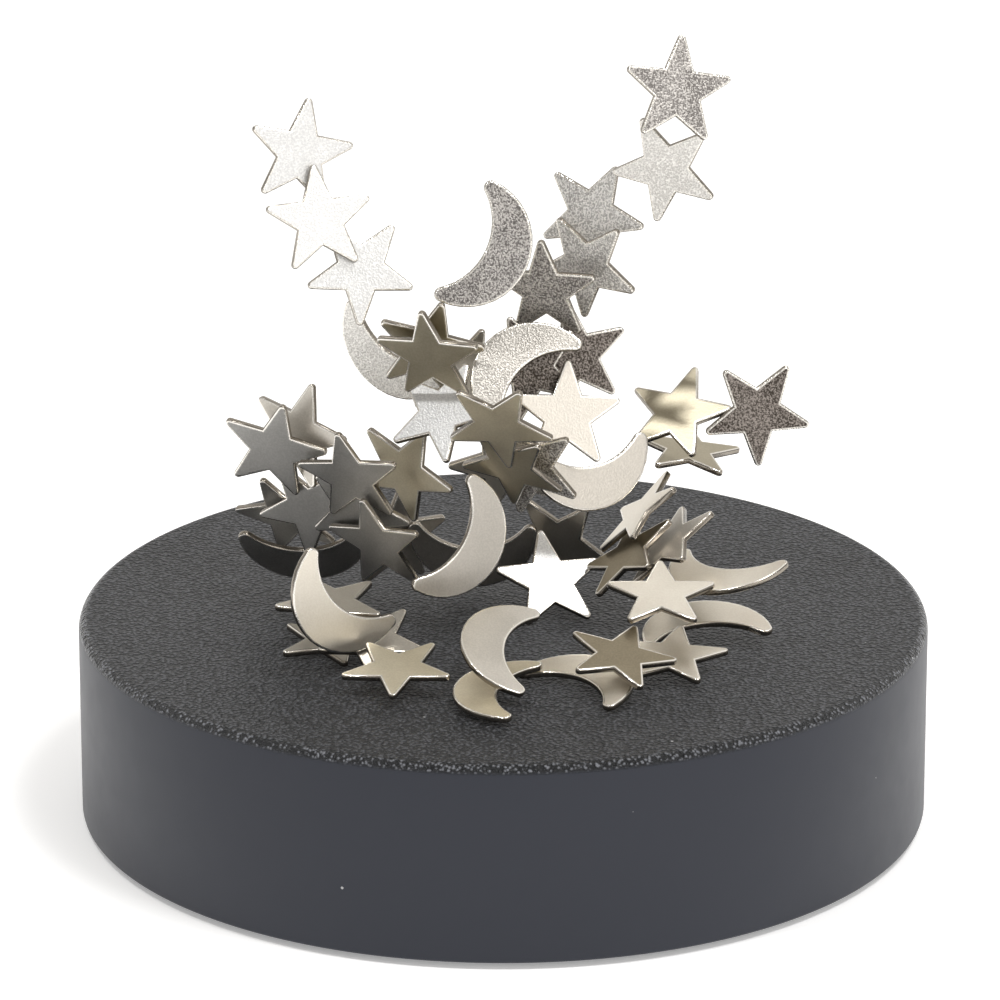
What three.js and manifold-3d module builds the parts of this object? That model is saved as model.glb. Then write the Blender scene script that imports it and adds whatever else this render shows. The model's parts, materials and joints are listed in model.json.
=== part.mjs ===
// Magnetic desk sculpture: small pressed-steel stars and crescents that cling in a loose pile to a
// round plastic base with a magnet under its top.
// Millimetres, +Z up, the front towards -Y. The origin is the centre of the underside.
import * as THREE from "three";
import { mergeVertices } from "three/addons/utils/BufferGeometryUtils.js";
import Module from "manifold-3d";

const wasm = await Module();
wasm.setup();

// Base
const BASE_RADIUS = 41.25;
const BASE_HEIGHT = 20.2;
const RIM_ROUND = 1.1;
const WALL = 2.2;
const FIT = 0.3; // clearance between neighbouring pieces of the base
const PAD_THICK = 1;
const PAD_INSET = 3.5; // pad edge to the outside of the base
const COVER_THICK = 1.8;
const SKIRT_FOOT = 0.6; // height of the shell's lower edge, so that only the pad touches the desk
const MAGNET_RADIUS = 30;
const MAGNET_THICK = 8;
const COLLAR_THICK = 1.6; // ring under the top that keeps the magnet centred
const COLLAR_DEPTH = 4;
const POST_RADIUS = 6; // post on the cover that holds the magnet up
const ROUND_STEPS = 96;
const RIM_STEPS = 6;

// Loose pieces
const PLATE = 0.6;
const STAR_TIP = 5.35; // centre to the end of a tip
const STAR_NOTCH = 2.45; // centre to the bottom of a notch
const STAR_TIP_ROUND = 0.38;
const MOON_OUTER = 6.3;
const MOON_BITE = 6.43; // radius of the bite
const MOON_OFFSET = 4.44; // centre of the bite from the centre of the disc
const MOON_TIP_ROUND = 0.7;
const STAR_ARC_STEPS = 3; // three.js doubles this number for each arc of an outline
const MOON_ARC_STEPS = 9;
const CLING_GAP = 0.12; // kept between two plates that cling together
const SETTLE_STEP = 0.05;
const SETTLE_LIMIT = 9;
const REACH = 13; // plates whose centres are farther apart than this can't touch

// Colours of the nickel plating as it catches the room
const TONES = {
  pale: 0xdad6cf,
  cream: 0xd8c7ab,
  grey: 0xa9a49b,
  olive: 0x8d846f,
  brown: 0x5d4d3f,
  dark: 0x4b4945,
};

const sculpture = new THREE.Group();

function add(name, geometry, color, roughness, metalness) {
  const mesh = new THREE.Mesh(geometry, new THREE.MeshStandardMaterial({ color, roughness, metalness }));
  mesh.name = name;
  sculpture.add(mesh);
  return mesh;
}

// Turned pieces: a profile of [radius, height] corners, spun about Z.
function turned(profile) {
  const points = profile.map(([radius, height]) => new THREE.Vector2(radius, height));
  return new THREE.LatheGeometry(points, ROUND_STEPS).rotateX(Math.PI / 2);
}

// Moulded shell, open underneath, with the magnet's collar inside.
function shellGeometry() {
  const ceiling = BASE_HEIGHT - WALL;
  const collarInner = MAGNET_RADIUS + FIT;
  const collarOuter = collarInner + COLLAR_THICK;
  const rim = [];
  for (let step = 0; step <= RIM_STEPS; step += 1) {
    const angle = (step / RIM_STEPS) * (Math.PI / 2);
    rim.push([
      BASE_RADIUS - RIM_ROUND * (1 - Math.cos(angle)),
      BASE_HEIGHT - RIM_ROUND * (1 - Math.sin(angle)),
    ]);
  }
  return turned([
    [0, ceiling],
    [collarInner, ceiling],
    [collarInner, ceiling - COLLAR_DEPTH],
    [collarOuter, ceiling - COLLAR_DEPTH],
    [collarOuter, ceiling],
    [BASE_RADIUS - WALL, ceiling],
    [BASE_RADIUS - WALL, SKIRT_FOOT],
    [BASE_RADIUS, SKIRT_FOOT],
    ...rim,
    [0, BASE_HEIGHT],
  ]);
}

function magnetGeometry() {
  const top = BASE_HEIGHT - WALL - FIT;
  const bottom = top - MAGNET_THICK;
  return turned([[0, bottom], [MAGNET_RADIUS, bottom], [MAGNET_RADIUS, top], [0, top]]);
}

// Disc that closes the shell, with the post that the magnet rests on.
function coverGeometry() {
  const bottom = PAD_THICK + FIT;
  const floor = bottom + COVER_THICK;
  const postTop = BASE_HEIGHT - WALL - MAGNET_THICK - 2 * FIT;
  const edge = BASE_RADIUS - WALL - FIT;
  return turned([
    [0, bottom],
    [edge, bottom],
    [edge, floor],
    [POST_RADIUS, floor],
    [POST_RADIUS, postTop],
    [0, postTop],
  ]);
}

function padGeometry() {
  const edge = BASE_RADIUS - PAD_INSET;
  return turned([[0, 0], [edge, 0], [edge, PAD_THICK], [0, PAD_THICK]]);
}

// Five straight-sided tips with rounded ends; the first tip points along +Y.
function starOutline() {
  const outline = new THREE.Shape();
  const roundCentre = STAR_TIP - STAR_TIP_ROUND;
  const along = roundCentre - STAR_NOTCH * Math.cos(Math.PI / 5);
  const across = STAR_NOTCH * Math.sin(Math.PI / 5);
  const halfTip = Math.atan2(across, along) - Math.asin(STAR_TIP_ROUND / Math.hypot(across, along));
  const sweep = Math.PI / 2 - halfTip;
  for (let tip = 0; tip < 5; tip += 1) {
    const angle = Math.PI / 2 + (tip * 2 * Math.PI) / 5;
    const x = roundCentre * Math.cos(angle);
    const y = roundCentre * Math.sin(angle);
    outline.absarc(x, y, STAR_TIP_ROUND, angle - sweep, angle + sweep, false);
    const notch = angle + Math.PI / 5;
    outline.lineTo(STAR_NOTCH * Math.cos(notch), STAR_NOTCH * Math.sin(notch));
  }
  return outline;
}

// A disc with a round bite out of its +Y side, and rounded horns.
function moonOutline() {
  const outline = new THREE.Shape();
  const toDisc = MOON_OUTER - MOON_TIP_ROUND;
  const toBite = MOON_BITE + MOON_TIP_ROUND;
  const y = (toDisc ** 2 - toBite ** 2 + MOON_OFFSET ** 2) / (2 * MOON_OFFSET);
  const x = Math.sqrt(toDisc ** 2 - y ** 2);
  const discAngle = Math.atan2(y, x);
  const biteAngle = Math.atan2(MOON_OFFSET - y, x);
  outline.absarc(0, 0, MOON_OUTER, Math.PI - discAngle, 2 * Math.PI + discAngle, false);
  outline.absarc(x, y, MOON_TIP_ROUND, discAngle, Math.PI - biteAngle, false);
  outline.absarc(0, MOON_OFFSET, MOON_BITE, -biteAngle, biteAngle - Math.PI, true);
  outline.absarc(-x, y, MOON_TIP_ROUND, biteAngle, Math.PI - discAngle, false);
  return outline;
}

function plateGeometry(outline, curveSegments, thickness) {
  const options = { depth: thickness, bevelEnabled: false, curveSegments };
  const geometry = new THREE.ExtrudeGeometry(outline, options);
  return geometry.translate(0, 0, -thickness / 2);
}

function solidOf(geometry) {
  const bare = geometry.clone();
  bare.deleteAttribute("normal");
  bare.deleteAttribute("uv");
  const merged = mergeVertices(bare);
  return new wasm.Manifold(
    new wasm.Mesh({
      numProp: 3,
      vertProperties: new Float32Array(merged.attributes.position.array),
      triVerts: new Uint32Array(merged.index.array),
    }),
  );
}

const shell = add("base_shell", shellGeometry(), 0x16181c, 0.55, 0);
add("magnet_disc", magnetGeometry(), 0x35322f, 0.8, 0.2);
add("bottom_cover", coverGeometry(), 0x1b1c1e, 0.6, 0);
add("foam_pad", padGeometry(), 0x242424, 0.95, 0);

// The pile is laid from the inside out. Each plate is pushed out along its own face until it just
// clears those laid before it, as a plate does when it snaps onto the pile.
const laid = [{ solid: solidOf(shell.geometry), centre: null }];

function settle(block, centre, outward) {
  const near = laid.filter((other) => !other.centre || other.centre.distanceTo(centre) < REACH);
  let out = 0;
  let moved = block;
  while (near.some((other) => !moved.intersect(other.solid).isEmpty())) {
    out += SETTLE_STEP;
    if (out > SETTLE_LIMIT) {
      throw new Error("a plate has no free place");
    }
    moved = block.translate(outward.clone().multiplyScalar(out).toArray());
  }
  return out;
}

function lay(name, outline, curveSegments, at, heading, lean, spin, tone) {
  const radians = THREE.MathUtils.degToRad;
  const upright = new THREE.Euler(radians(90 - lean), 0, radians(heading), "ZXY");
  const spun = new THREE.Matrix4().makeRotationZ(radians(-spin));
  const pose = new THREE.Matrix4().makeRotationFromEuler(upright).multiply(spun);
  const centre = new THREE.Vector3(...at);
  const outward = new THREE.Vector3(0, 0, 1).applyMatrix4(pose);
  const block = solidOf(plateGeometry(outline, curveSegments, PLATE + 2 * CLING_GAP));
  const out = settle(block.transform(pose.clone().setPosition(centre).elements), centre, outward);
  centre.addScaledVector(outward, out);
  const mesh = add(name, plateGeometry(outline, curveSegments, PLATE), TONES[tone], 0.35, 1);
  mesh.applyMatrix4(pose.setPosition(centre));
  mesh.updateMatrix();
  const solid = solidOf(mesh.geometry).transform(mesh.matrix.elements);
  laid.push({ solid, centre });
}

const STAR = starOutline();
const MOON = moonOutline();

function star(name, at, heading, lean, spin, tone) {
  lay(`star_${name}`, STAR, STAR_ARC_STEPS, at, heading, lean, spin, tone);
}

function crescent(name, at, heading, lean, spin, tone) {
  lay(`crescent_${name}`, MOON, MOON_ARC_STEPS, at, heading, lean, spin, tone);
}

// name, centre, heading of its face (0 = towards -Y, 90 = towards +X), lean back (90 = face up),
// clockwise spin, tone of the plating. Places are in half millimetres, angles in steps of 5 degrees.

// Right tower, neck and right arm
star("right_tower_third", [8.5, 6, 58.5], -20, 10, 25, "grey");
star("right_tower_fourth", [8, 4, 54], -25, -5, 40, "grey");
star("neck_right", [7, 3.5, 45], 15, 10, 65, "brown");
star("right_tower_foot", [4, 2.5, 52], -15, -10, 70, "dark");
star("neck_middle", [2.5, 2, 44.5], 5, 10, 50, "brown");
star("right_tower_second", [15.5, 3, 64], -20, 0, 45, "pale");
star("right_tower_top", [16.5, 2, 72], 15, 20, 10, "grey");
crescent("right_arm_inner", [8, 1.5, 36.5], 20, 20, 0, "cream");
star("right_arm_lower", [18, 6, 34.5], 50, 80, 50, "olive");
star("right_arm_upper", [17, 7, 38], -20, 50, 5, "olive");
star("right_arm_tip", [24.5, 6.5, 38.5], 10, 5, 35, "dark");

// Left tower
crescent("left_tower_foot", [-10, 1.5, 47.5], -30, -5, 25, "cream");
star("left_tower_third", [-14, 5.5, 53], 10, 20, 40, "pale");
star("left_tower_second", [-18, 5.5, 58], 15, 20, 70, "pale");
star("left_tower_top", [-19.5, 6.5, 64.5], 20, 15, 15, "pale");

// Neck and chest
star("neck_lower_right", [5.5, 2, 39], 10, 25, 5, "cream");
star("neck_left_back", [-7, -1.5, 48], -5, -15, 15, "olive");
star("chest_right", [3.5, -1.5, 37], -20, -10, 50, "brown");
crescent("saddle_lower", [3, -2, 43.5], 5, 40, 135, "cream");
star("chest_left", [-5.5, -4.5, 41.5], -30, 40, 10, "pale");
star("neck_left", [-6, -3, 49], -20, -20, 70, "olive");
crescent("saddle_upper", [-3.5, -1, 58], 0, 15, 295, "grey");
star("chest_front", [1, -6, 37.5], -25, -30, 45, "olive");
star("neck_front", [0, -8.5, 43.5], -15, -25, 30, "olive");

// Left arm
star("left_arm_back", [-21, 2.5, 29], -20, -30, 55, "dark");
crescent("left_arm_low", [-19.5, 1, 27.5], -5, -30, 355, "dark");
star("left_arm_lower", [-18.5, 0, 31], -20, -10, 40, "dark");
star("left_arm_back_upper", [-19.5, -0.5, 38.5], -30, 5, 15, "grey");
star("left_arm_tip", [-22, -2, 37.5], -15, -15, 15, "dark");
star("chest_low_left", [-9.5, -3, 35.5], -30, -10, 30, "olive");
star("left_arm_inner", [-13.5, -2.5, 32], -20, -15, 25, "dark");
star("left_arm_upper", [-13.5, -3, 37], -20, -20, 65, "dark");
star("left_arm_under", [-12, -5.5, 29], -30, -20, 65, "dark");

// Waist and right hip
star("waist_front", [4.5, -1, 23.5], 15, 45, 0, "pale");
star("right_hip_inner", [12, -3, 27], -75, 50, 10, "olive");
star("right_hip_upper", [15, 0, 28.5], -90, 45, 30, "cream");
crescent("right_foot_upper", [22, -6, 27.5], -60, 75, 335, "cream");
star("right_hip_outer", [16, -4, 28.5], -80, 50, 15, "grey");
crescent("chest", [-5.5, -8, 31], 25, 10, 305, "grey");

// The foot of the pile, flat plates first
star("left_foot_flat", [-16.5, -11, 21], 5, 85, 25, "cream");
star("left_foot_inner", [-12.5, -14.5, 22.5], 5, 70, 40, "grey");
star("left_foot_upper", [-16.5, -10.5, 24.5], 0, 80, 45, "cream");
star("left_foot_front", [-10, -22, 22.5], -10, 80, 30, "cream");
crescent("left_hip", [-14.5, -16.5, 28.5], 30, 5, 45, "grey");
crescent("front_right", [6, -23.5, 21], -40, 80, 185, "cream");
crescent("front_lower", [1.5, -25.5, 21.5], -25, 85, 80, "cream");
crescent("front_upper", [2, -20.5, 23.5], 35, 65, 130, "grey");
crescent("right_foot_lower", [19.5, -12, 22], -5, 80, 165, "cream");
star("right_foot_front", [16, -17.5, 22], -5, 80, 5, "cream");
star("right_foot_upper", [15, -13, 25.5], 0, 75, 0, "cream");
star("front_right_upper", [11, -21.5, 23.5], 30, 75, 45, "olive");

// The back of the pile
crescent("back_foot", [-3, 4, 27], 175, 10, 0, "grey");
star("back_foot_right", [5.5, 5, 25.5], 160, 15, 35, "cream");
star("back_foot_left", [-10, 4, 25.5], 205, 10, 0, "grey");
star("back_middle", [0, 3, 34], 175, 10, 20, "cream");
star("back_neck", [-4, 3, 43], 185, 5, 50, "grey");

export default sculpture;
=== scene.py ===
"""Magnetic desk sculpture: a round black base with a magnet inside, and a loose pile of small
nickel-plated stars and crescents that cling to it. Metres, +Z up, front towards -Y."""

import json
import math

import bmesh
import bpy
from mathutils import Euler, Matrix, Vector


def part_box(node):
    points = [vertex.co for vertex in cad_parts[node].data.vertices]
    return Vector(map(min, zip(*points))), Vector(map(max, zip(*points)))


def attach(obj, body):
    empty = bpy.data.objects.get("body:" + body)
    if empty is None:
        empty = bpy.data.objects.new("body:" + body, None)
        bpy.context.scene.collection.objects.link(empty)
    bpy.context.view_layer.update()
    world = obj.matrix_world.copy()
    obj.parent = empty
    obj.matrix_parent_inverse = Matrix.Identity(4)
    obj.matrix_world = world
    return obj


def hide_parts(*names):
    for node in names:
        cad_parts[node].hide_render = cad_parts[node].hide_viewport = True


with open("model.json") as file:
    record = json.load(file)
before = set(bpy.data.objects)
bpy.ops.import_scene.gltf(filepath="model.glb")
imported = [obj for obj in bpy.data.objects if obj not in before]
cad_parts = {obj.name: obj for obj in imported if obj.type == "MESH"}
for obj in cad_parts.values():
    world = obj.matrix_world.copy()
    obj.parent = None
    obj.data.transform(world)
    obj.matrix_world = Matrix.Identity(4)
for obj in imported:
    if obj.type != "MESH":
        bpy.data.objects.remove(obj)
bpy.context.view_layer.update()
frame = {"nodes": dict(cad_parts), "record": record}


# --- Base shell -------------------------------------------------------------------------------
# One injection moulding in black plastic, open underneath. The mould was spark-eroded over the
# top, which leaves a leather-like grain that runs over the rim; the side is plain satin.

shell_low, shell_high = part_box("base_shell")
base_radius = shell_high.x
base_top = shell_high.z
WALL = 0.0022
RIM_ROUND = 0.0011
FOOT_ROUND = 0.0003
TOP_INSET = 0.0006
GRAIN_WANDER = 0.0002
COLLAR_INNER = 0.0303
COLLAR_OUTER = 0.0319
COLLAR_DEPTH = 0.004


def finished(name, mesh_under_way):
    """Turns a bmesh into a smooth-shaded object at the origin."""
    mesh = bpy.data.meshes.new(name)
    mesh_under_way.to_mesh(mesh)
    mesh_under_way.free()
    mesh.polygons.foreach_set("use_smooth", [True] * len(mesh.polygons))
    piece = bpy.data.objects.new(name, mesh)
    bpy.context.scene.collection.objects.link(piece)
    return piece


def spun_ring(profile, steps):
    """Spins a profile of (radius, height) corners round the base's own axis."""
    ring = bmesh.new()
    corners = [ring.verts.new((radius, 0, height)) for radius, height in profile]
    sides = [ring.edges.new(pair) for pair in zip(corners, corners[1:])]
    bmesh.ops.spin(
        ring, geom=corners + sides, axis=(0, 0, 1), cent=(0, 0, 0),
        angle=2 * math.pi, steps=steps, use_merge=True,
    )
    bmesh.ops.remove_doubles(ring, verts=ring.verts, dist=1e-7)
    bmesh.ops.recalc_face_normals(ring, faces=ring.faces)
    return ring


def round_corners(piece, offset, segments, wanted):
    """Rounds the edges for which wanted(edge) is true."""
    bmesh.ops.bevel(
        piece, geom=[edge for edge in piece.edges if wanted(edge)], offset=offset,
        offset_type="OFFSET", segments=segments, profile=0.5, affect="EDGES", material=-1,
    )


ceiling = base_top - WALL
shell_mesh = spun_ring(
    [
        (0, ceiling),
        (COLLAR_INNER, ceiling),
        (COLLAR_INNER, ceiling - COLLAR_DEPTH),
        (COLLAR_OUTER, ceiling - COLLAR_DEPTH),
        (COLLAR_OUTER, ceiling),
        (base_radius - WALL, ceiling),
        (base_radius - WALL, shell_low.z),
        (base_radius, shell_low.z),
        (base_radius, base_top),
        (0, base_top),
    ],
    192,
)


def on_outer_rim(edge):
    return all(
        math.hypot(v.co.x, v.co.y) > base_radius - 1e-5 and v.co.z > base_top - 1e-5
        for v in edge.verts
    )


def at_outer_foot(edge):
    return all(
        math.hypot(v.co.x, v.co.y) > base_radius - 1e-5 and v.co.z < shell_low.z + 1e-5
        for v in edge.verts
    )


round_corners(shell_mesh, RIM_ROUND, 8, on_outer_rim)
round_corners(shell_mesh, FOOT_ROUND, 3, at_outer_foot)
flats = [
    face for face in shell_mesh.faces
    if abs(face.normal.z) > 0.999 and face.calc_center_median().z > ceiling
]
bmesh.ops.inset_region(shell_mesh, faces=flats, thickness=TOP_INSET, depth=0)
base_shell = finished("moulded_base_shell", shell_mesh)


def new_group(name, inputs, outputs):
    """A shader node group with float inputs (name, default) and outputs (name, kind)."""
    group = bpy.data.node_groups.new(name, "ShaderNodeTree")
    for label, value in inputs:
        socket = group.interface.new_socket(label, in_out="INPUT", socket_type="NodeSocketFloat")
        socket.default_value = value
    for label, kind in outputs:
        group.interface.new_socket(label, in_out="OUTPUT", socket_type=kind)
    return group, group.nodes.new("NodeGroupInput"), group.nodes.new("NodeGroupOutput")


def place(tree, kind, **settings):
    """Adds a node and sets its properties, or its inputs where no property has that name."""
    node = tree.nodes.new(kind)
    for key, value in settings.items():
        if hasattr(node, key):
            setattr(node, key, value)
        else:
            node.inputs[key.replace("_", " ")].default_value = value
    return node


def math_node(tree, operation, first, second=None, third=None):
    """A Math node; each operand is a socket or a number."""
    node = place(tree, "ShaderNodeMath", operation=operation)
    for socket, operand in zip(node.inputs, (first, second, third)):
        if isinstance(operand, (int, float)):
            socket.default_value = operand
        elif operand is not None:
            tree.links.new(operand, socket)
    return node.outputs[0]


def step_between(tree, value, low, high, to_low=0.0, to_high=1.0):
    """A smooth step of a value from low to high."""
    node = place(tree, "ShaderNodeMapRange", interpolation_type="SMOOTHSTEP")
    tree.links.new(value, node.inputs["Value"])
    for label, number in zip(("From Min", "From Max", "To Min", "To Max"), (low, high, to_low, to_high)):
        node.inputs[label].default_value = number
    return node.outputs["Result"]


def two_tone(tree, mask, dark, light):
    """A colour that goes from dark to light with a mask."""
    mix = place(tree, "ShaderNodeMix", data_type="RGBA")
    tree.links.new(mask, mix.inputs["Factor"])
    first, second = [s for s in mix.inputs if s.type == "RGBA"]
    for socket, colour in ((first, dark), (second, light)):
        if isinstance(colour, tuple):
            socket.default_value = (*colour, 1)
        else:
            tree.links.new(colour, socket)
    return next(s for s in mix.outputs if s.type == "RGBA")


# Leather grain: rounded pebbles between fine creases.
leather, leather_in, leather_out = new_group(
    "leather_grain", [("Pebbles per metre", 2200.0)], [("Height", "NodeSocketFloat")]
)
where = place(leather, "ShaderNodeTexCoord").outputs["Object"]
warp = place(leather, "ShaderNodeTexNoise", Scale=2600.0, Detail=2.0)
leather.links.new(where, warp.inputs["Vector"])
shifted = place(leather, "ShaderNodeVectorMath", operation="MULTIPLY_ADD")
leather.links.new(warp.outputs["Color"], shifted.inputs[0])
shifted.inputs[1].default_value = (GRAIN_WANDER, GRAIN_WANDER, GRAIN_WANDER)
leather.links.new(where, shifted.inputs[2])
pebbles = place(leather, "ShaderNodeTexVoronoi", feature="SMOOTH_F1", Smoothness=0.35)
leather.links.new(shifted.outputs[0], pebbles.inputs["Vector"])
leather.links.new(leather_in.outputs["Pebbles per metre"], pebbles.inputs["Scale"])
fine = place(leather, "ShaderNodeTexNoise", Scale=6500.0, Detail=3.0)
leather.links.new(where, fine.inputs["Vector"])
pebble_height = math_node(leather, "SUBTRACT", 1.0, pebbles.outputs["Distance"])
total_height = math_node(leather, "MULTIPLY_ADD", fine.outputs["Fac"], 0.35, pebble_height)
leather.links.new(total_height, leather_out.inputs["Height"])

# Dust: sparse pale specks.
dust, dust_in, dust_out = new_group(
    "dust_specks", [("Specks per metre", 260.0), ("Size", 0.07), ("Share", 0.2)],
    [("Mask", "NodeSocketFloat")],
)
where = place(dust, "ShaderNodeTexCoord").outputs["Object"]
cells = place(dust, "ShaderNodeTexVoronoi")
dust.links.new(where, cells.inputs["Vector"])
dust.links.new(dust_in.outputs["Specks per metre"], cells.inputs["Scale"])
speck = math_node(dust, "LESS_THAN", cells.outputs["Distance"], dust_in.outputs["Size"])
chance = place(dust, "ShaderNodeSeparateColor")
dust.links.new(cells.outputs["Color"], chance.inputs[0])
kept = math_node(dust, "LESS_THAN", chance.outputs[0], dust_in.outputs["Share"])
dust.links.new(math_node(dust, "MULTIPLY", speck, kept), dust_out.inputs["Mask"])

# Scratches: short straight nicks, far apart.
scratches, scratches_in, scratches_out = new_group(
    "short_scratches", [("Lines per metre", 150.0), ("Share", 0.2), ("Amount", 0.5)],
    [("Mask", "NodeSocketFloat")],
)
where = place(scratches, "ShaderNodeTexCoord").outputs["Object"]
drawn_out = place(scratches, "ShaderNodeMapping")
scratches.links.new(where, drawn_out.inputs["Vector"])
drawn_out.inputs["Rotation"].default_value = (0.35, 0.25, 0.1)
drawn_out.inputs["Scale"].default_value = (1.0, 1.0, 0.14)
lines = place(scratches, "ShaderNodeTexVoronoi")
scratches.links.new(drawn_out.outputs["Vector"], lines.inputs["Vector"])
scratches.links.new(scratches_in.outputs["Lines per metre"], lines.inputs["Scale"])
chance = place(scratches, "ShaderNodeSeparateColor")
scratches.links.new(lines.outputs["Color"], chance.inputs[0])
kept = math_node(scratches, "LESS_THAN", chance.outputs[0], scratches_in.outputs["Share"])
line = step_between(scratches, lines.outputs["Distance"], 0.0, 0.02, 1.0, 0.0)
kept_line = math_node(scratches, "MULTIPLY", line, kept)
faint = math_node(scratches, "MULTIPLY", kept_line, scratches_in.outputs["Amount"])
scratches.links.new(faint, scratches_out.inputs["Mask"])


def new_material(name):
    """A node material with its Principled BSDF."""
    material = bpy.data.materials.new(name)
    material.use_nodes = True
    tree = material.node_tree
    surface = next(n for n in tree.nodes if n.type == "BSDF_PRINCIPLED")
    return material, tree, surface


def effect(tree, group, **values):
    """Places a shared effect in a material with its own values."""
    node = place(tree, "ShaderNodeGroup")
    node.node_tree = group
    for label, value in values.items():
        node.inputs[label.replace("_", " ")].default_value = value
    return node.outputs[0]


def bump(tree, surface, height, distance, strength):
    """Feeds a height to the surface's normal."""
    relief = place(tree, "ShaderNodeBump", Distance=distance, Strength=strength)
    tree.links.new(height, relief.inputs["Height"])
    tree.links.new(relief.outputs["Normal"], surface.inputs["Normal"])


black_plastic, tree, surface = new_material("black_moulded_plastic")
place_z = place(tree, "ShaderNodeSeparateXYZ")
tree.links.new(place(tree, "ShaderNodeTexCoord").outputs["Object"], place_z.inputs[0])
grained = step_between(tree, place_z.outputs["Z"], base_top - 0.85 * RIM_ROUND, base_top - 0.45 * RIM_ROUND)
specks = effect(tree, dust, Specks_per_metre=260.0, Size=0.035, Share=0.3)
nicks = effect(tree, scratches, Lines_per_metre=170.0, Share=0.3, Amount=0.5)
marks = math_node(tree, "MAXIMUM", specks, nicks)
grain_height = effect(tree, leather, Pebbles_per_metre=2500.0)
# Painted shade and highlight: the grain's creases are painted near black and its pebble tops light grey,
# standing for shade in the creases and highlights on the pebbles.
above_crease = step_between(tree, grain_height, 0.62, 1.02)
painted_crease_shade_pebble_highlight = two_tone(tree, above_crease, (0.006, 0.007, 0.009), (0.105, 0.109, 0.122))
plain = two_tone(tree, grained, (0.016, 0.019, 0.03), painted_crease_shade_pebble_highlight)
# The band round the rim is rubbed smoother by handling, which lowers its roughness, and carries a painted
# glint: the grain's high points there are painted light grey, partly rubbed wear and partly a painted
# highlight.
below_top = step_between(tree, place_z.outputs["Z"], base_top - 0.1 * RIM_ROUND, base_top, 1.0, 0.0)
above_side = step_between(
    tree, place_z.outputs["Z"], base_top - 0.75 * RIM_ROUND, base_top - 0.55 * RIM_ROUND
)
rubbed_and_glint_band = math_node(tree, "MULTIPLY", below_top, above_side)
glint = math_node(tree, "MULTIPLY", rubbed_and_glint_band, step_between(tree, grain_height, 0.7, 1.15))
grain_with_painted_glint = two_tone(tree, glint, plain, (0.26, 0.27, 0.3))
tree.links.new(two_tone(tree, marks, grain_with_painted_glint, (0.45, 0.45, 0.46)), surface.inputs["Base Color"])
satin = place(tree, "ShaderNodeTexNoise", Scale=400.0, Detail=4.0)
tree.links.new(place(tree, "ShaderNodeTexCoord").outputs["Object"], satin.inputs["Vector"])
roughness = math_node(tree, "MULTIPLY_ADD", satin.outputs["Fac"], 0.08, 0.38)
tree.links.new(math_node(tree, "MULTIPLY_ADD", rubbed_and_glint_band, -0.18, roughness), surface.inputs["Roughness"])
satin_height = math_node(tree, "MULTIPLY", satin.outputs["Fac"], 0.01)
height = place(tree, "ShaderNodeMix", data_type="FLOAT")
tree.links.new(grained, height.inputs["Factor"])
tree.links.new(satin_height, height.inputs[2])
tree.links.new(grain_height, height.inputs[3])
bump(tree, surface, height.outputs[0], 0.00055, 1.0)
surface.inputs["Specular IOR Level"].default_value = 0.4
base_shell.data.materials.append(black_plastic)
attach(base_shell, "base")
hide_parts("base_shell")


# --- Magnet, cover and pad --------------------------------------------------------------------
# A ground ferrite disc, the moulded cover that holds it up on a post, and a die-cut foam pad glued
# under the cover. They keep the shape that they have in the frame.

ferrite, tree, surface = new_material("ground_ferrite")
where = place(tree, "ShaderNodeTexCoord").outputs["Object"]
powder = place(tree, "ShaderNodeTexNoise", Scale=2600.0, Detail=5.0)
tree.links.new(where, powder.inputs["Vector"])
grit = step_between(tree, powder.outputs["Fac"], 0.35, 0.65)
tree.links.new(two_tone(tree, grit, (0.045, 0.043, 0.042), (0.11, 0.105, 0.1)), surface.inputs["Base Color"])
surface.inputs["Roughness"].default_value = 0.62
surface.inputs["Metallic"].default_value = 0.25
bump(tree, surface, powder.outputs["Fac"], 0.00005, 0.5)

cover_plastic, tree, surface = new_material("black_cover_plastic")
flow = place(tree, "ShaderNodeTexNoise", Scale=900.0, Detail=4.0)
tree.links.new(place(tree, "ShaderNodeTexCoord").outputs["Object"], flow.inputs["Vector"])
flow_colour = two_tone(tree, flow.outputs["Fac"], (0.016, 0.017, 0.019), (0.03, 0.031, 0.034))
tree.links.new(flow_colour, surface.inputs["Base Color"])
surface.inputs["Roughness"].default_value = 0.5
bump(tree, surface, flow.outputs["Fac"], 0.00004, 0.4)

foam, tree, surface = new_material("black_foam")
pores = place(tree, "ShaderNodeTexVoronoi", Scale=2200.0)
tree.links.new(place(tree, "ShaderNodeTexCoord").outputs["Object"], pores.inputs["Vector"])
open_pore = step_between(tree, pores.outputs["Distance"], 0.1, 0.6)
foam_colour = two_tone(tree, open_pore, (0.008, 0.008, 0.008), (0.035, 0.035, 0.036))
tree.links.new(foam_colour, surface.inputs["Base Color"])
surface.inputs["Roughness"].default_value = 0.95
bump(tree, surface, open_pore, 0.0001, 0.8)

for node, finish in (("magnet_disc", ferrite), ("bottom_cover", cover_plastic), ("foam_pad", foam)):
    frame["nodes"][node].data.materials.clear()
    frame["nodes"][node].data.materials.append(finish)


# --- Stars and crescents ----------------------------------------------------------------------
# Blanked from 0.6 mm steel strip, tumbled so that every edge rolls over bright, then nickel
# plated. Some plates are bead-blasted and sparkle, others are satin. The tone of each plate,
# from white and grey to cream, olive and brown, and the satin plates' warm cast are painted
# shading: they stand for the reflection and shade that a plate catches at its lean. The rolled
# edges are bright partly from polish and partly from a painted highlight, and the plates' sides
# carry a painted shade.

EDGE_ROLL = 0.00015
EDGE_BAND = 0.00015

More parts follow.
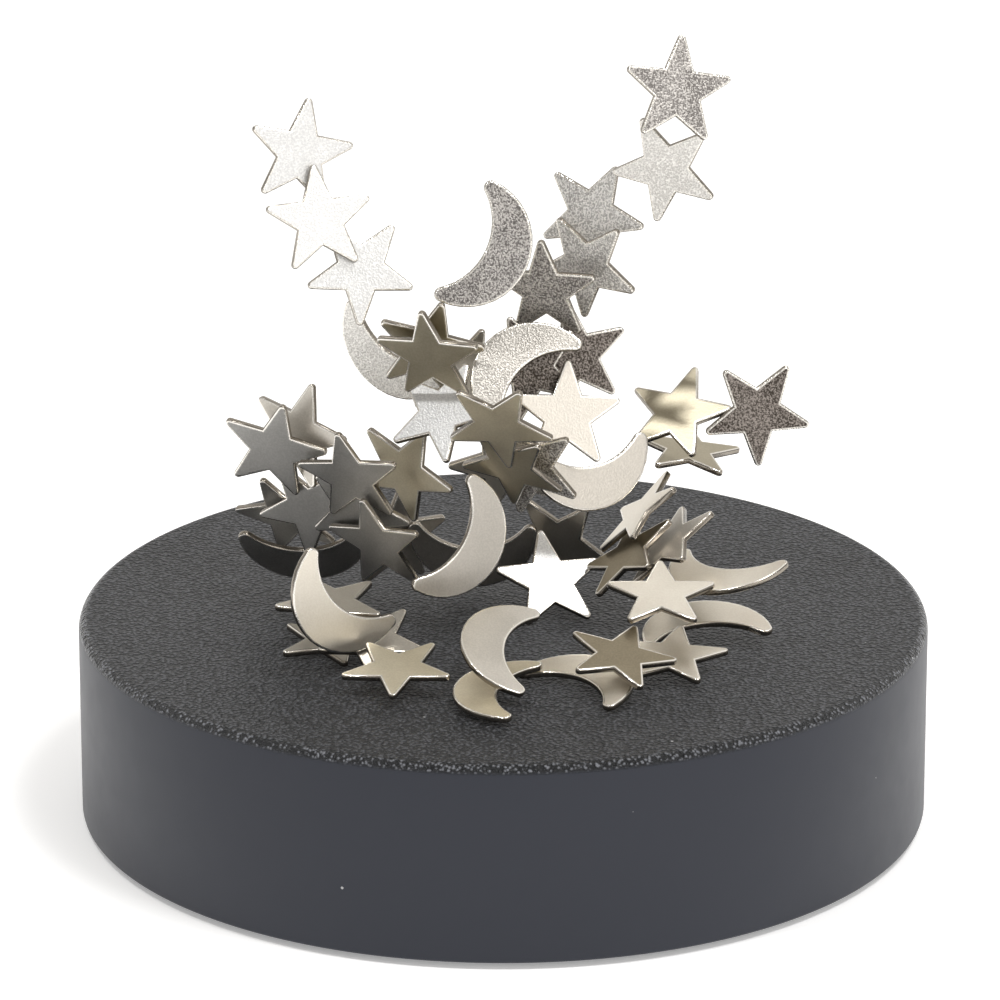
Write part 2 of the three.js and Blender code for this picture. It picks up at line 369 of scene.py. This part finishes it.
# Bead-blasted grain: fine sparkling pits.
blasted, blasted_in, blasted_out = new_group(
    "blasted_grain", [("Pits per metre", 5600.0)], [("Height", "NodeSocketFloat")]
)
where = place(blasted, "ShaderNodeTexCoord").outputs["Object"]
pits = place(blasted, "ShaderNodeTexNoise", Detail=1.0, Roughness=0.6)
blasted.links.new(where, pits.inputs["Vector"])
blasted.links.new(blasted_in.outputs["Pits per metre"], pits.inputs["Scale"])
blasted.links.new(step_between(blasted, pits.outputs["Fac"], 0.34, 0.68), blasted_out.inputs["Height"])

# Cloudy plating: broad patches where the nickel took unevenly.
clouds, clouds_in, clouds_out = new_group(
    "plating_clouds", [("Patches per metre", 260.0)], [("Mask", "NodeSocketFloat")]
)
where = place(clouds, "ShaderNodeTexCoord").outputs["Object"]
cloud = place(clouds, "ShaderNodeTexNoise", Detail=3.0, Roughness=0.5)
clouds.links.new(where, cloud.inputs["Vector"])
clouds.links.new(clouds_in.outputs["Patches per metre"], cloud.inputs["Scale"])
clouds.links.new(step_between(clouds, cloud.outputs["Fac"], 0.3, 0.7), clouds_out.inputs["Mask"])


def nickel(name, dark, light, grain_contrast, grain_relief, roughness):
    """Nickel plating: two shades of its grain, the relief of the blasting, rolled edges that are polished
    and carry a painted highlight, and a painted shade on the plates' sides.
    """
    material, tree, surface = new_material(name)
    grain = effect(tree, blasted, Pits_per_metre=5600.0)
    patchy = effect(tree, clouds, Patches_per_metre=260.0)
    shade = math_node(tree, "MULTIPLY_ADD", grain, grain_contrast, (1 - grain_contrast) / 2)
    shade = math_node(tree, "MULTIPLY_ADD", patchy, 0.3, math_node(tree, "SUBTRACT", shade, 0.15))
    face_colour = two_tone(tree, shade, dark, light)
    nicks = effect(tree, scratches, Lines_per_metre=330.0, Share=0.3, Amount=0.25)
    face_colour = two_tone(tree, nicks, face_colour, (0.24, 0.2, 0.16))
    # Painted highlight and shade at the edges: the band along each rolled edge is painted near white, partly
    # polish from tumbling and partly a painted highlight, and the sides are painted dark brown as painted
    # shade.
    edge = place(tree, "ShaderNodeAttribute", attribute_name="edge").outputs["Fac"]
    polish_and_highlight_band = step_between(tree, edge, 0.1, 0.5)
    painted_side_shade = step_between(tree, edge, 0.55, 0.95)
    colour_with_painted_edge_light = two_tone(tree, painted_side_shade, two_tone(tree, polish_and_highlight_band, face_colour, (0.88, 0.85, 0.79)), (0.3, 0.27, 0.23))
    tree.links.new(colour_with_painted_edge_light, surface.inputs["Base Color"])
    surface.inputs["Metallic"].default_value = 1.0
    smooth = math_node(tree, "MULTIPLY_ADD", polish_and_highlight_band, 0.2 - roughness, roughness)
    tree.links.new(math_node(tree, "MULTIPLY_ADD", patchy, 0.05, smooth), surface.inputs["Roughness"])
    bump(tree, surface, math_node(tree, "MULTIPLY", grain, grain_relief), 0.00004, 1.0)
    return material


# Each finish below comes in lit and shaded tones: its dark and light colours hold painted shading for the
# plates listed with it, standing for the reflection and shade that they catch.
blasted_white_painted_shading = nickel("nickel_blasted_white_painted_shading", (0.72, 0.72, 0.72), (0.94, 0.94, 0.93), 0.8, 0.3, 0.42)
blasted_pale_painted_shading = nickel("nickel_blasted_pale_painted_shading", (0.62, 0.6, 0.57), (1.0, 0.98, 0.94), 0.9, 0.6, 0.4)
blasted_grey_painted_shading = nickel("nickel_blasted_grey_painted_shading", (0.42, 0.405, 0.385), (0.96, 0.94, 0.91), 1.0, 0.7, 0.4)
blasted_dark_painted_shading = nickel("nickel_blasted_dark_painted_shading", (0.18, 0.168, 0.16), (0.66, 0.63, 0.6), 1.0, 0.7, 0.4)
blasted_soft_painted_shading = nickel("nickel_blasted_soft_painted_shading", (0.3, 0.285, 0.26), (0.54, 0.51, 0.47), 0.9, 0.5, 0.4)
blasted_brown_painted_shading = nickel("nickel_blasted_brown_painted_shading", (0.06, 0.05, 0.042), (0.36, 0.32, 0.29), 1.0, 0.7, 0.4)
satin_cream_painted_shading = nickel("nickel_satin_cream_painted_shading", (0.8, 0.74, 0.64), (0.94, 0.89, 0.79), 0.3, 0.08, 0.3)
satin_grey_painted_shading = nickel("nickel_satin_grey_painted_shading", (0.53, 0.5, 0.45), (0.68, 0.64, 0.58), 0.4, 0.12, 0.32)
satin_warm_painted_shading = nickel("nickel_satin_warm_painted_shading", (0.7, 0.63, 0.48), (0.9, 0.83, 0.66), 0.3, 0.08, 0.34)
satin_olive_painted_shading = nickel("nickel_satin_olive_painted_shading", (0.38, 0.34, 0.25), (0.52, 0.47, 0.36), 0.3, 0.08, 0.32)
satin_brown_painted_shading = nickel("nickel_satin_brown_painted_shading", (0.22, 0.185, 0.125), (0.36, 0.31, 0.22), 0.3, 0.08, 0.3)
satin_dark_painted_shading = nickel("nickel_satin_dark_painted_shading", (0.38, 0.37, 0.35), (0.52, 0.51, 0.49), 0.4, 0.1, 0.42)

FINISH_AND_PAINTED_SHADING = {
    blasted_white_painted_shading: "left_tower_top left_tower_second left_tower_third waist_front chest_left",
    blasted_pale_painted_shading: "right_tower_second left_tower_foot",
    blasted_grey_painted_shading: "right_tower_third right_tower_fourth",
    blasted_dark_painted_shading: "right_tower_top saddle_upper right_tower_foot chest_right",
    blasted_soft_painted_shading: "saddle_lower",
    blasted_brown_painted_shading: "right_arm_tip neck_right neck_middle",
    satin_warm_painted_shading: "chest_front neck_front chest_low_left left_foot_front front_lower",
    satin_olive_painted_shading: "neck_left_back neck_left right_arm_upper right_arm_lower",
    satin_brown_painted_shading: "front_right_upper right_hip_inner",
    satin_dark_painted_shading: "left_arm_tip left_arm_upper left_arm_inner left_arm_lower left_arm_under "
    "left_arm_back left_arm_low",
    satin_grey_painted_shading: "left_arm_back_upper left_foot_inner right_hip_outer chest front_upper "
    "neck_lower_right right_arm_inner back_foot back_foot_left back_neck",
}


def finish_and_painted_shading_of(node):
    """The finish that a plate has, in the tone of painted shading that it is given."""
    label = node.split("_", 1)[1]
    return next((shaded_finish for shaded_finish, labels in FINISH_AND_PAINTED_SHADING.items() if label in labels.split()), satin_cream_painted_shading)


def broad_faces(plate):
    """The front and the back of a plate."""
    return sorted(plate.faces, key=lambda face: face.calc_area())[-2:]


def rolled_plate(node):
    """A plate with the outline that it has in the frame and with its edges rolled over."""
    plate = bmesh.new()
    plate.from_mesh(frame["nodes"][node].data)
    edge_mark = plate.verts.layers.float.new("edge")
    bmesh.ops.remove_doubles(plate, verts=plate.verts, dist=1e-6)
    outward = max(plate.faces, key=lambda face: face.calc_area()).normal.copy()
    for side in (outward, -outward):
        flat = [face for face in plate.faces if face.normal.dot(side) > 0.999]
        bmesh.ops.dissolve_faces(plate, faces=flat)
    bmesh.ops.dissolve_limit(plate, angle_limit=math.radians(1), verts=plate.verts, edges=plate.edges)
    rim = {edge for face in broad_faces(plate) for edge in face.edges}
    round_corners(plate, EDGE_ROLL, 3, lambda edge: edge in rim)
    bmesh.ops.inset_individual(
        plate, faces=broad_faces(plate), thickness=EDGE_BAND, depth=0, use_even_offset=True
    )
    inner = {vert for face in broad_faces(plate) for vert in face.verts}
    middle = sum((vert.co for vert in plate.verts), Vector()) / len(plate.verts)
    skin = max(abs((vert.co - middle).dot(outward)) for vert in plate.verts)
    for vert in plate.verts:
        on_skin = abs((vert.co - middle).dot(outward)) > skin - 0.3 * EDGE_ROLL
        vert[edge_mark] = 0.0 if vert in inner else 0.5 if on_skin else 1.0
    piece = finished("plate_" + node, plate)
    piece.data.materials.append(finish_and_painted_shading_of(node))
    return piece


for body, nodes in frame["record"]["behaviour"]["bodies"].items():
    for node in nodes:
        if node.startswith(("star_", "crescent_")):
            plate = rolled_plate(node)
            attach(plate, body)
            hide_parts(node)


# --- Stage ------------------------------------------------------------------------------------
# A pale floor in a room that is light behind, dim in front and darker straight overhead, with one
# softbox high at the front right, a small one high at the front left that catches the rim of the
# base, and a low one at the front right, so that plates that lean different ways differ.

floor_mesh = bmesh.new()
bmesh.ops.create_circle(floor_mesh, cap_ends=True, segments=64, radius=6.0)
floor = finished("studio_floor", floor_mesh)
pale, tree, surface = new_material("pale_floor")
surface.inputs["Base Color"].default_value = (0.9, 0.9, 0.9, 1)
surface.inputs["Roughness"].default_value = 0.9
surface.inputs["Emission Color"].default_value = (1, 1, 1, 1)
surface.inputs["Emission Strength"].default_value = 0.3
floor.data.materials.append(pale)

room = bpy.data.worlds.new("studio_room")
bpy.context.scene.world = room
room.use_nodes = True
tree = room.node_tree
towards = place(tree, "ShaderNodeTexCoord").outputs["Generated"]


def seen_towards(direction, edge, middle):
    """A mask of the directions within a soft circle about one direction; both sizes in degrees."""
    along = place(tree, "ShaderNodeVectorMath", operation="DOT_PRODUCT")
    tree.links.new(towards, along.inputs[0])
    along.inputs[1].default_value = Vector(direction).normalized()
    return step_between(
        tree, along.outputs["Value"], math.cos(math.radians(edge)), math.cos(math.radians(middle))
    )


room_light = two_tone(tree, seen_towards((0, 1, 0.9), 100, 25), (0.24, 0.235, 0.23), (0.9, 0.88, 0.85))
for direction, edge, middle, colour in (
    ((-0.9, -0.45, -0.1), 65, 15, (0.5, 0.49, 0.48)),
    ((0.95, -0.4, -0.1), 50, 10, (0.5, 0.48, 0.46)),
    ((-0.35, -0.1, 0.93), 40, 12, (0.22, 0.2, 0.17)),
    ((0.35, -0.75, 0.42), 30, 8, (1.1, 1.08, 1.05)),
):
    room_light = two_tone(tree, seen_towards(direction, edge, middle), room_light, colour)
background = next(n for n in tree.nodes if n.type == "BACKGROUND")
tree.links.new(room_light, background.inputs["Color"])


def softbox(name, size, power, at, aim, colour=(1, 1, 1)):
    """A square area light that faces a point."""
    light = bpy.data.lights.new(name, "AREA")
    light.shape = "SQUARE"
    light.size = size
    light.energy = power
    light.color = colour
    lamp = bpy.data.objects.new(name, light)
    lamp.location = at
    lamp.rotation_euler = (Vector(aim) - Vector(at)).to_track_quat("-Z", "Y").to_euler()
    bpy.context.scene.collection.objects.link(lamp)


centre = (0, 0, 0.04)
softbox("overhead_softbox", 0.22, 3.5, (0.3, -0.22, 0.85), centre)
softbox("rim_softbox", 0.06, 2.2, (-0.3, -0.2, 0.9), centre)
softbox("right_softbox", 0.3, 0.75, (0.45, -0.75, 0.5), centre, (1.0, 0.97, 0.93))

DISTANCE = 0.635
PITCH = math.radians(19.43)
AIM_TO_LEFT = 0.00032
AIM_IN_BASE_HEIGHTS = 1.56
aim = Vector((-AIM_TO_LEFT, 0, AIM_IN_BASE_HEIGHTS * base_top))
lens = bpy.data.cameras.new("camera")
lens.sensor_width = 36
lens.lens = 236.4
lens.clip_start = 0.05
camera = bpy.data.objects.new("camera", lens)
camera.location = aim + DISTANCE * Vector((0, -math.cos(PITCH), math.sin(PITCH)))
camera.rotation_euler = Euler((math.pi / 2 - PITCH, 0, 0))
bpy.context.scene.collection.objects.link(camera)
bpy.context.scene.camera = camera
bpy.context.scene.view_settings.view_transform = "Standard"
